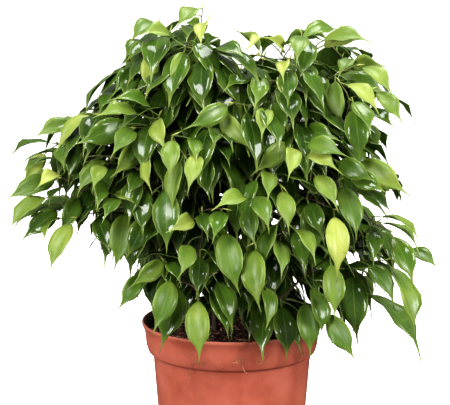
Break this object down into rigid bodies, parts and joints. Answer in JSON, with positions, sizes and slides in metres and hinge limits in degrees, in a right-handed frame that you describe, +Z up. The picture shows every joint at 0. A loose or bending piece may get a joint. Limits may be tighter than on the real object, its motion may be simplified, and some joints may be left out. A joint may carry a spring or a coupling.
{
  "type": "potted weeping fig",
  "caption": "Bushy young weeping fig with glossy pointed leaves on slender twigs, planted in a tapered terracotta-coloured plastic pot with a collared rim.",
  "frame": {"origin": "centre of the pot's flat underside, where it rests", "axes": "+Z up along the pot's axis, -Y towards the plant's front, +X to the right of someone who looks at the front"},
  "size_m": [0.3966, 0.312, 0.4462],
  "materials": {
    "pot": "satin",
    "soil": "matte",
    "leaf": "satin"
  },
  "bodies": {
    "root": {"pot": "pot", "soil": "soil", "leafy_stem_front_left": "leaf", "leafy_stem_front_right": "leaf", "leafy_stem_right": "leaf", "leafy_stem_back": "leaf", "leafy_stem_left": "leaf"}
  },
  "joints": []
}
